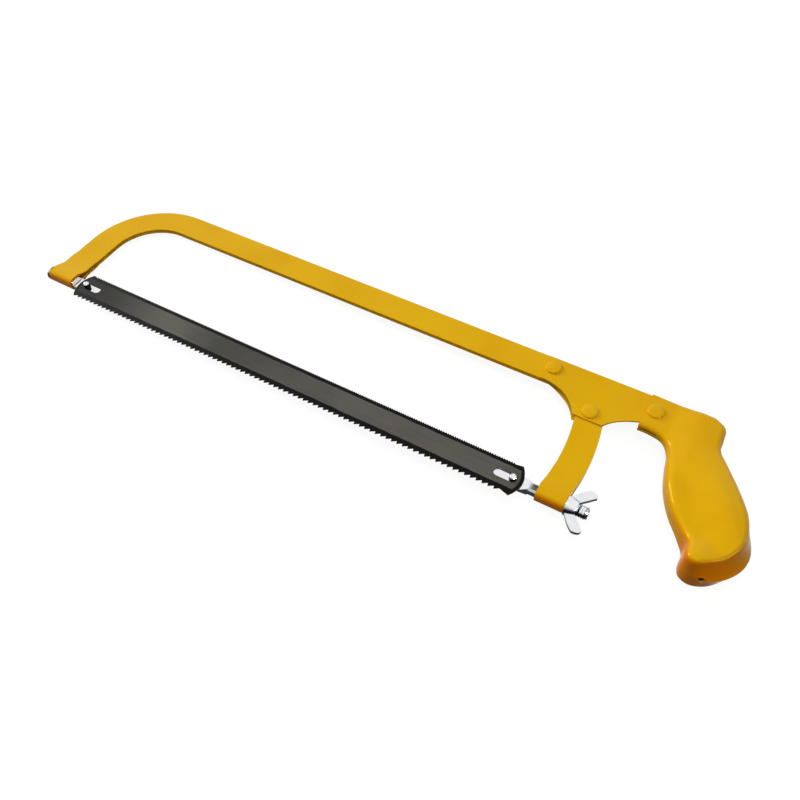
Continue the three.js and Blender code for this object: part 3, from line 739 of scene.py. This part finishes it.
@dataclass
class PistolGrip:
    """Two pressed half shells that close on the frame's tangs, with an open front and a seam all round.

    A range holds the shares of the grip's reach or drop over which a form comes in. The overrun,
    the sleeve's foot, the finger line and the hole's place are shares too.
    """

    finish: bpy.types.Material
    front: float = 44.5
    top: float = 87.8
    reach: float = 70.6
    drop: float = 94.9
    overrun: float = -0.085
    sleeve_foot: float = 0.08
    sleeve_height: float = 24.6
    sleeve_half: float = 3.8
    heel_half: float = 6.5
    heel_behind: Range = (0.19, 0.42)
    grip_half: float = 12.2
    grip_below: Range = (0.21, 0.68)
    finger_half: float = 6.5
    finger_behind: float = 0.25
    finger_below: float = 0.35
    finger_slope: float = 0.73
    palm_behind: Range = (0.0, 0.4)
    palm_below: Range = (0.74, 1.0)
    palm_blend: float = 0.25
    crown: float = 0.8
    edge: float = 4.0
    edge_limit: float = 0.7
    butt_edge: float = 2.8
    butt_lean: float = 3.0
    lean_behind: Range = (0.66, 0.86)
    lean_below: Range = (0.56, 0.92)
    butt_flare: float = 3.0
    flare_below: Range = (0.4, 0.75)
    butt_hole: float = 2.5
    hole_place: tuple[float, float] = (0.8, 0.99)
    seam: float = 0.3
    wall: float = 1.0
    finger_gap: float = 1.6
    finger_gap_length: float = 11.0
    finger_gap_band: float = 2.5
    spacing: float = 0.9
    tangent_steps: int = 2
    knot_steps: int = 24
    edge_steps: int = 12
    face_steps: int = 10
    weld: float = 0.001
    crease: float = 45.0

    def place(self, behind: float, below: float) -> Vector:
        """Return a point of the outline from its shares of the grip's reach and drop."""
        return Vector((HOLE_SPACING + self.front + behind * self.reach, self.top - below * self.drop))

    def shares(self, point: Vector) -> tuple[float, float]:
        """Return how far a point lies behind the grip's front and below its top, as shares."""
        return (point.x - self.place(0, 0).x) / self.reach, (self.top - point.y) / self.drop

    def half(self, point: Vector) -> float:
        """Return the grip's half thickness at a point of its outline's plane."""
        behind, below = self.shares(point)
        heel = self.sleeve_half + (self.heel_half - self.sleeve_half) * smooth(behind, *self.heel_behind)
        finger_line = self.finger_behind + self.finger_slope * (below - self.finger_below)
        back = smooth(behind - finger_line, *self.palm_behind)
        palm = soft_max(back, smooth(below, *self.palm_below), self.palm_blend)
        full = self.finger_half + (self.grip_half - self.finger_half) * palm
        return heel + (full - heel) * smooth(below, *self.grip_below)

    def outline(self) -> list[Vector]:
        """Return evenly spaced points round the grip, from the sleeve's foot to its top."""
        open_x, foot = self.place(self.overrun, 0).x, self.top - self.sleeve_height
        shares = (
            (0.2, 0.28), (0.27, 0.35), (0.307, 0.462), (0.36, 0.584), (0.45, 0.707), (0.562, 0.809),
            (0.628, 0.873), (0.637, 0.939), (0.667, 0.982), (0.75, 1.0), (0.855, 0.97), (0.94, 0.906),
            (0.993, 0.822), (0.995, 0.73), (0.937, 0.597), (0.82, 0.441), (0.705, 0.315), (0.62, 0.226),
            (0.608, 0.138), (0.59, 0.063), (0.495, 0.018),
        )
        knots = [Vector((self.place(self.sleeve_foot, 0).x, foot))]
        knots += [self.place(*share) for share in shares]
        curve = catmull_rom(knots, self.knot_steps)
        return evenly([Vector((open_x, foot))] + curve + [Vector((open_x, self.top))], self.spacing)

    def middle(self, point: Vector) -> Vector:
        """Return the nearest point on the grip's middle line."""
        places = ((self.overrun, 0.13), (0.36, 0.14), (0.49, 0.29), (0.645, 0.56), (0.775, 0.82))
        line = [self.place(*share) for share in places]
        best = line[0]
        for start, end in zip(line, line[1:]):
            run = end - start
            share = max(0.0, min(1.0, (point - start).dot(run) / run.length_squared))
            spot = start + run * share
            if (spot - point).length < (best - point).length:
                best = spot
        return best

    def base(self, point: Vector) -> float:
        """Return the height of the shell's rim, which is raised at the finger gap and the butt hole."""
        notch = self.butt_hole - (point - self.place(*self.hole_place)).length
        at_foot = abs(point.y - (self.top - self.sleeve_height)) < self.finger_gap_band
        in_gap = at_foot and point.x < self.place(0, 0).x + self.finger_gap_length
        return max(self.seam / 2, notch, self.finger_gap / 2 if in_gap else 0.0)

    def column(self, point: Vector, inward: Vector, side: float) -> list[Vector]:
        """Return the points of one strip of the shell, from its rim up the wall and over the face.

        Args:
            point: Outline point in millimetres.
            inward: Unit vector into the outline.
            side: 1 for the near shell, whose wall leans in at the butt, -1 for the far one.

        Returns:
            Points in millimetres, rim first.
        """
        behind, below = self.shares(point)
        near = smooth(below, *self.lean_below) * smooth(behind, *self.lean_behind) if side > 0 else 0.0
        edge = min(self.edge + (self.butt_edge - self.edge) * near, self.edge_limit * self.half(point))
        lean = self.butt_lean * near
        foot = point - inward * self.butt_flare * smooth(below, *self.flare_below) * max(0.0, -inward.x)
        strip = [Vector((foot.x, foot.y, self.base(point)))]
        for step in range(self.edge_steps + 1):
            angle = step / self.edge_steps * math.pi / 2
            spot = point + inward * (lean + edge - edge * math.cos(angle))
            strip.append(Vector((spot.x, spot.y, self.half(spot) - edge + edge * math.sin(angle))))
        rim = point + inward * (lean + edge)
        core = self.middle(rim)
        for step in range(1, self.face_steps):
            share = step / self.face_steps
            spot = rim.lerp(core, share)
            full = (self.half(spot) - self.sleeve_half) / (self.grip_half - self.sleeve_half)
            rise = self.crown * full * (1 - (1 - share) ** 2)
            strip.append(Vector((spot.x, spot.y, self.half(spot) + rise)))
        return strip

    def surface(self, side: float) -> tuple[list[Vector], list[tuple[int, ...]]]:
        """Return the shell's outer surface on one side, in the shared frame.

        Args:
            side: 1 for the shell above the middle plane, -1 for the one below.

        Returns:
            Points and faces, open at the rim and the front.
        """
        outline = self.outline()
        count = len(outline)
        columns = []
        for i, point in enumerate(outline):
            before = outline[max(i - self.tangent_steps, 0)]
            after = outline[min(i + self.tangent_steps, count - 1)]
            along = (after - before).normalized()
            columns.append(self.column(point, Vector((-along.y, along.x)), side))
        rows = len(columns[0])
        points = [saw_point(p.x, p.y, p.z * side) for strip in columns for p in strip]
        faces: list[tuple[int, ...]] = []
        for i in range(count - 1):
            for j in range(rows - 1):
                a, b = i * rows + j, (i + 1) * rows + j
                faces.append((a, b, b + 1, a + 1))
        faces += self._core([strip[-1] for strip in columns], rows)
        if side < 0:
            faces = [tuple(reversed(face)) for face in faces]
        return points, faces

    @staticmethod
    def _core(tips: Sequence[Vector], rows: int) -> list[tuple[int, ...]]:
        """Close the face between the strips' last points, inwards from both ends of the outline.

        Args:
            tips: Last point of each strip.
            rows: Number of points in a strip.

        Returns:
            Triangles by point number.
        """
        faces: list[tuple[int, ...]] = []
        left, right = 0, len(tips) - 1
        while left + 1 < right:
            go_left = (tips[left + 1] - tips[right]).length
            go_right = (tips[left] - tips[right - 1]).length
            step_left = go_left < go_right
            corners = (left, left + 1 if step_left else right - 1, right)
            faces.append(tuple(corner * rows + rows - 1 for corner in corners))
            if step_left:
                left += 1
            else:
                right -= 1
        return faces

    def build(self) -> None:
        """Make both shells: cut them open at the front and give their walls a thickness."""
        for side, node in ((1.0, "handle_left_shell"), (-1.0, "handle_right_shell")):
            piece = mesh_from(f"{node}_pressing", *self.surface(side))
            shape = bmesh.new()
            shape.from_mesh(piece.data)
            bmesh.ops.bisect_plane(
                shape, geom=shape.verts[:] + shape.edges[:] + shape.faces[:],
                plane_co=saw_point(HOLE_SPACING + self.front, 0, 0), plane_no=(-1, 0, 0), clear_outer=True)
            bmesh.ops.remove_doubles(shape, verts=shape.verts, dist=self.weld * MM)
            shape.to_mesh(piece.data)
            shape.free()
            wall = piece.modifiers.new("Sheet thickness", "SOLIDIFY")
            wall.thickness = self.wall * MM
            wall.offset = -1.0
            bake(piece)
            shade(piece, self.crease)
            dress(piece, self.finish, Body.FRAME, [node])


@dataclass
class BladeTension:
    """Plated fittings that hold and draw the blade: front anchor, pins, threaded stud and wing nut."""

    finish: bpy.types.Material
    cast_finish: bpy.types.Material
    turned_from: float = 328.9
    stud_more: float = 1.4
    stud_edge: float = 0.25
    tip_length: float = 3.0
    tongue_from: float = 5.0
    tongue_more: float = 2.5
    thread_start: float = 336.4
    thread_end: float = 341.3
    thread_radius: float = 3.5
    thread_depth: float = 0.55
    thread_play: float = 0.12
    thread_crease: float = 60.0
    pitch: float = 1.2
    coil_steps: int = 40
    ridge_sides: int = 4

    def build(self) -> None:
        """Make each fitting and the thread on the stud."""
        fittings = (
            ("front_anchor", Body.FRAME, 0.3),
            ("front_blade_pin", Body.FRAME, 0.15),
            ("rear_blade_pin", Body.STUD, 0.15),
            ("wing_nut", Body.NUT, 0.55),
        )
        for node, body, edge in fittings:
            piece = merged_copy(node, f"{node}_plated")
            if node == "front_anchor":
                self._lengthen(piece, self.tongue_from, 1.0)
            if node == "wing_nut":
                self._open_bore(piece)
            round_edges(piece, edge)
            finish = self.cast_finish if node == "wing_nut" else self.finish
            dress(piece, finish, body, [node])
        self._stud()
        self._thread()

    def _lengthen(self, piece: bpy.types.Object, past: float, way: float) -> None:
        """Draw a tongue's round end further under the blade.

        Args:
            piece: Holder with the tongue.
            past: Place along the blade, in millimetres, beyond which the tongue is drawn out.
            way: 1 to draw it towards the grip, -1 towards the front.
        """
        limit = saw_point(past, 0, 0).x
        for vertex in piece.data.vertices:
            if (vertex.co.x - limit) * way > 0:
                vertex.co.x += way * self.tongue_more * MM

    @staticmethod
    def _set_radius(vertex: bpy.types.MeshVertex, least: float, most: float) -> None:
        """Move a point out from the stud's axis or in to it until it lies between two radii in metres."""
        axis = saw_point(0, 0, 0)
        spoke = Vector((0.0, vertex.co.y - axis.y, vertex.co.z - axis.z))
        if not least <= spoke.length <= most:
            spoke.length = least if spoke.length < least else most
            vertex.co = Vector((vertex.co.x, axis.y + spoke.y, axis.z + spoke.z))

    def _open_bore(self, nut: bpy.types.Object) -> None:
        """Widen the nut's bore until the stud's thread clears it."""
        for vertex in nut.data.vertices:
            self._set_radius(vertex, (self.thread_radius + self.thread_play) * MM, math.inf)

    def _stud(self) -> None:
        """Make the stud with its threaded end turned down to the thread's root."""
        stud = merged_copy("tension_stud", "tension_stud_plated")
        start = saw_point(self.turned_from, 0, 0).x
        root = (self.thread_radius - self.thread_depth) * MM
        tip = saw_point(self.thread_end - self.tip_length, 0, 0).x
        for vertex in stud.data.vertices:
            if vertex.co.x > tip:
                vertex.co.x += self.stud_more * MM
            if vertex.co.x > start:
                self._set_radius(vertex, 0.0, root)
        self._lengthen(stud, HOLE_SPACING - self.tongue_from, -1.0)
        round_edges(stud, self.stud_edge)
        dress(stud, self.finish, Body.STUD, ["tension_stud"])

    def _thread(self) -> None:
        """Wind the thread's ridge along the stud's end."""
        ridge = mesh_from("stud_thread", [saw_point(0, 0, 0)], [])
        made = NodesTree("Screw thread")
        turns, radius, length = made.size("Turns"), made.size("Radius"), made.size("Length")
        width, start = made.size("Ridge"), made.size("Start", "NodeSocketVector")
        tree = made.tree
        coil = add_node(tree, "GeometryNodeCurveSpiral", inputs={
            "Resolution": self.coil_steps, "Rotations": turns, "Start Radius": radius,
            "End Radius": radius, "Height": length})
        profile = add_node(tree, "GeometryNodeCurvePrimitiveCircle", inputs={
            "Resolution": self.ridge_sides, "Radius": width})
        thread = add_node(tree, "GeometryNodeCurveToMesh", inputs={
            "Curve": coil.outputs["Curve"], "Profile Curve": profile.outputs["Curve"], "Fill Caps": True})
        laid = add_node(tree, "GeometryNodeTransform", inputs={
            "Geometry": thread.outputs["Mesh"], "Translation": start, "Rotation": (0.0, math.pi / 2, 0.0)})
        made.close(laid.outputs["Geometry"])
        run = self.thread_end - self.thread_start
        made.run(ridge, {
            "Turns": run / self.pitch,
            "Radius": (self.thread_radius - self.thread_depth) * MM,
            "Length": run * MM,
            "Ridge": self.thread_depth * MM,
            "Start": saw_point(self.thread_start, 0, 0),
            "Finish": self.finish,
        })
        shade(ridge, self.thread_crease)
        dress(ridge, self.finish, Body.STUD)


@dataclass
class SawBlade:
    """Flat blade with coarse teeth on one edge and fine teeth on the other."""

    finish: bpy.types.Material

    def build(self) -> None:
        """Give the toothed blade its finish."""
        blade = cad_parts["blade"]
        blade.data.materials.clear()
        blade.data.materials.append(self.finish)
        LOG.info("blade: CAD node with its own finish")


@dataclass(frozen=True)
class SoftBox:
    """A square soft lamp: its name, its place and side in metres, and its power in watts."""

    name: str
    place: tuple[float, float, float]
    side: float
    power: float


@dataclass
class Studio:
    """White paper floor, soft lamps and the photograph's camera.

    The camera's angles are in radians. Its clip range and the sizes of the floor and the strip lamp are in
    metres. The strip lamp stands one metre from its aim.
    """

    elevation: float = 0.908669528
    azimuth: float = 0.569350701
    roll: float = 0.0535425099
    camera_place: tuple[float, float, float] = (371.395, -215.663, 355.367)
    lens: float = 36.0
    sensor: float = 36.0
    clip: Range = (0.01, 50.0)
    floor_size: float = 8.0
    floor_gap: float = 0.2
    heel_inset: float = 20.0
    wall_light: float = 0.1
    ceiling_light: float = 0.63
    cornice: Range = (0.3, 0.6)
    soft_boxes: tuple[SoftBox, ...] = (
        SoftBox("Overhead softbox", (0.2, -0.25, 1.2), 0.15, 4.0),
        SoftBox("Left softbox", (-2.2, 0.3, 0.85), 0.8, 42.0),
    )
    strip_size: tuple[float, float] = (1.2, 0.03)
    strip_power: float = 20.0
    strip_aim: tuple[float, float, float] = (365.0, 10.0, 0.0)
    strip_from: tuple[float, float, float] = (0.863, -0.263, 0.43)
    strip_along: tuple[float, float, float] = (-0.416, -1.03, 0.449)
    flag_along: Range = (140.0, 190.0)
    flag_across: Range = (250.0, 950.0)
    flag_height: float = 988.0

    def camera(self) -> None:
        """Place the camera at the photograph's viewing point."""
        data = bpy.data.cameras.new("Photo camera")
        data.sensor_width = self.sensor
        data.sensor_fit = "HORIZONTAL"
        data.lens = self.lens
        data.clip_start, data.clip_end = self.clip
        cos_e, sin_e = math.cos(self.elevation), math.sin(self.elevation)
        back = Vector((math.sin(self.azimuth) * cos_e, -math.cos(self.azimuth) * cos_e, sin_e))
        right = (-back).cross(Vector((0, 0, 1))).normalized()
        down = (-back).cross(right)
        across = right * math.cos(self.roll) + down * math.sin(self.roll)
        lower = down * math.cos(self.roll) - right * math.sin(self.roll)
        turn = Matrix((across, -lower, back)).transposed()
        camera = link_object("Photo camera", data)
        camera.matrix_world = Matrix.Translation(saw_point(*self.camera_place)) @ turn.to_4x4()
        bpy.context.scene.camera = camera

    def floor(self) -> None:
        """Lay the paper under the grip and the frame's tip, which is where the saw touches it."""
        tip_low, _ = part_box("front_anchor")
        grip_low, grip_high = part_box("handle_right_shell")
        heel_x = grip_high.x - self.heel_inset * MM
        heel_z = grip_low.z - self.floor_gap * MM
        slope = (tip_low.z - grip_low.z) / (heel_x - tip_low.x)
        half = self.floor_size / 2
        corners = ((-half, -half), (half, -half), (half, half), (-half, half))
        points = [Vector((x, y, heel_z - (x - heel_x) * slope)) for x, y in corners]
        paper = mesh_from("studio_paper", points, [(0, 1, 2, 3)])
        paper.data.materials.append(StudioPaper().build())

    def flag(self) -> None:
        """Hang a black bar overhead that only polished surfaces reflect."""
        (x_low, x_high), (y_low, y_high) = self.flag_along, self.flag_across
        corners = ((x_low, y_low), (x_high, y_low), (x_high, y_high), (x_low, y_high))
        points = [saw_point(x, y, self.flag_height) for x, y in corners]
        bar = mesh_from("black_flag", points, [(0, 1, 2, 3)])
        bar.data.materials.append(FlagCloth().build())
        bar.visible_camera = bar.visible_diffuse = bar.visible_shadow = False

    def lamp(self, box: SoftBox) -> None:
        """Hang a soft lamp that faces the saw."""
        data = bpy.data.lights.new(box.name, "AREA")
        data.shape = "SQUARE"
        data.size = box.side
        data.energy = box.power
        lamp = link_object(box.name, data)
        lamp.location = box.place
        lamp.rotation_mode = "QUATERNION"
        lamp.rotation_quaternion = (-Vector(box.place)).to_track_quat("-Z", "Y")

    def strip(self) -> None:
        """Stand a thin strip lamp by the grip that is seen only as a line of light in glossy edges."""
        data = bpy.data.lights.new("Edge strip", "AREA")
        data.shape = "RECTANGLE"
        data.size, data.size_y = self.strip_size
        data.energy = self.strip_power
        back = Vector(self.strip_from).normalized()
        along = Vector(self.strip_along)
        across = (along - back * along.dot(back)).normalized()
        turn = Matrix((across, back.cross(across), back)).transposed()
        lamp = link_object("Edge strip", data)
        lamp.matrix_world = Matrix.Translation(saw_point(*self.strip_aim) + back) @ turn.to_4x4()
        lamp.visible_diffuse = False

    def world(self) -> None:
        """Light the room softly from its ceiling, and show the eye and polished metal plain white."""
        world = bpy.data.worlds.new("White room")
        bpy.context.scene.world = world
        world.use_nodes = True
        tree = world.node_tree
        tree.nodes.clear()
        look = add_node(tree, "ShaderNodeTexCoord").outputs["Generated"]
        axes = add_node(tree, "ShaderNodeSeparateXYZ", inputs={"Vector": look})
        rise = map_range(tree, axes.outputs["Z"], self.cornice, (self.wall_light, self.ceiling_light))
        backdrop = add_node(tree, "ShaderNodeMix", {"data_type": "FLOAT"}, {
            "Factor": seen_by_eye(tree), "A": rise, "B": 1.0})
        room = add_node(tree, "ShaderNodeBackground", inputs={
            "Color": WHITE, "Strength": backdrop.outputs["Result"]})
        add_node(tree, "ShaderNodeOutputWorld", inputs={"Surface": room.outputs["Background"]})

    def build(self) -> None:
        """Set up the whole studio."""
        self.camera()
        self.floor()
        for box in self.soft_boxes:
            self.lamp(box)
        self.strip()
        self.flag()
        self.world()
        bpy.context.scene.view_settings.view_transform = "Standard"


def main() -> None:
    """Build the studio and every sub-assembly in order."""
    logging.basicConfig(level=logging.INFO, format="%(name)s %(message)s")
    Studio().build()
    enamel = GlossEnamel().build()
    plate = BrightPlate().build()
    cast_plate = BrightPlate(roughness=(0.06, 0.12), name="Plated casting").build()
    steel = HardenedBlade().build()
    PressedFrame(enamel).build()
    PistolGrip(enamel).build()
    RivetSet(enamel).build()
    BladeTension(plate, cast_plate).build()
    SawBlade(steel).build()


if __name__ == "__main__":
    main()
